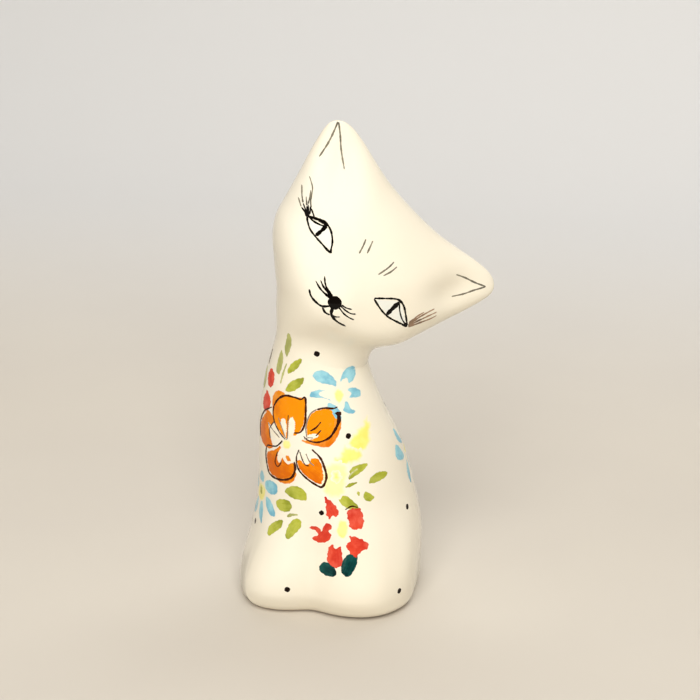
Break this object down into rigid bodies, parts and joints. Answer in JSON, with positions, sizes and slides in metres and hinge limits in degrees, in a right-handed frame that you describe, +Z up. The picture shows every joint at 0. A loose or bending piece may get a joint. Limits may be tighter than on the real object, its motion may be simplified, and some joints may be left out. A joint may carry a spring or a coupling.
{
  "type": "ceramic cat figurine",
  "caption": "Hollow slip-cast ceramic cat, seated, its head turned and tilted to one side, with hand-painted flowers under a white glaze.",
  "frame": {"origin": "on the table, under the middle of the foot's pour hole", "axes": "+Z up through the body towards the head; the cat's chest faces -Y and its left side is +X"},
  "size_m": [0.0776, 0.0686, 0.1487],
  "materials": {
    "body_glaze": "clear gloss glaze over cream white earthenware with underglaze painting",
    "lute_slip": "fired casting slip, matt, hidden under the glaze of the neck",
    "head_glaze": "clear gloss glaze over cream white earthenware with fine black brush lines",
    "tail_glaze": "clear gloss glaze over cream white earthenware"
  },
  "bodies": {
    "root": {"body_shell": "body_glaze", "neck_lute": "lute_slip", "head_shell": "head_glaze", "tail": "tail_glaze"}
  },
  "joints": []
}
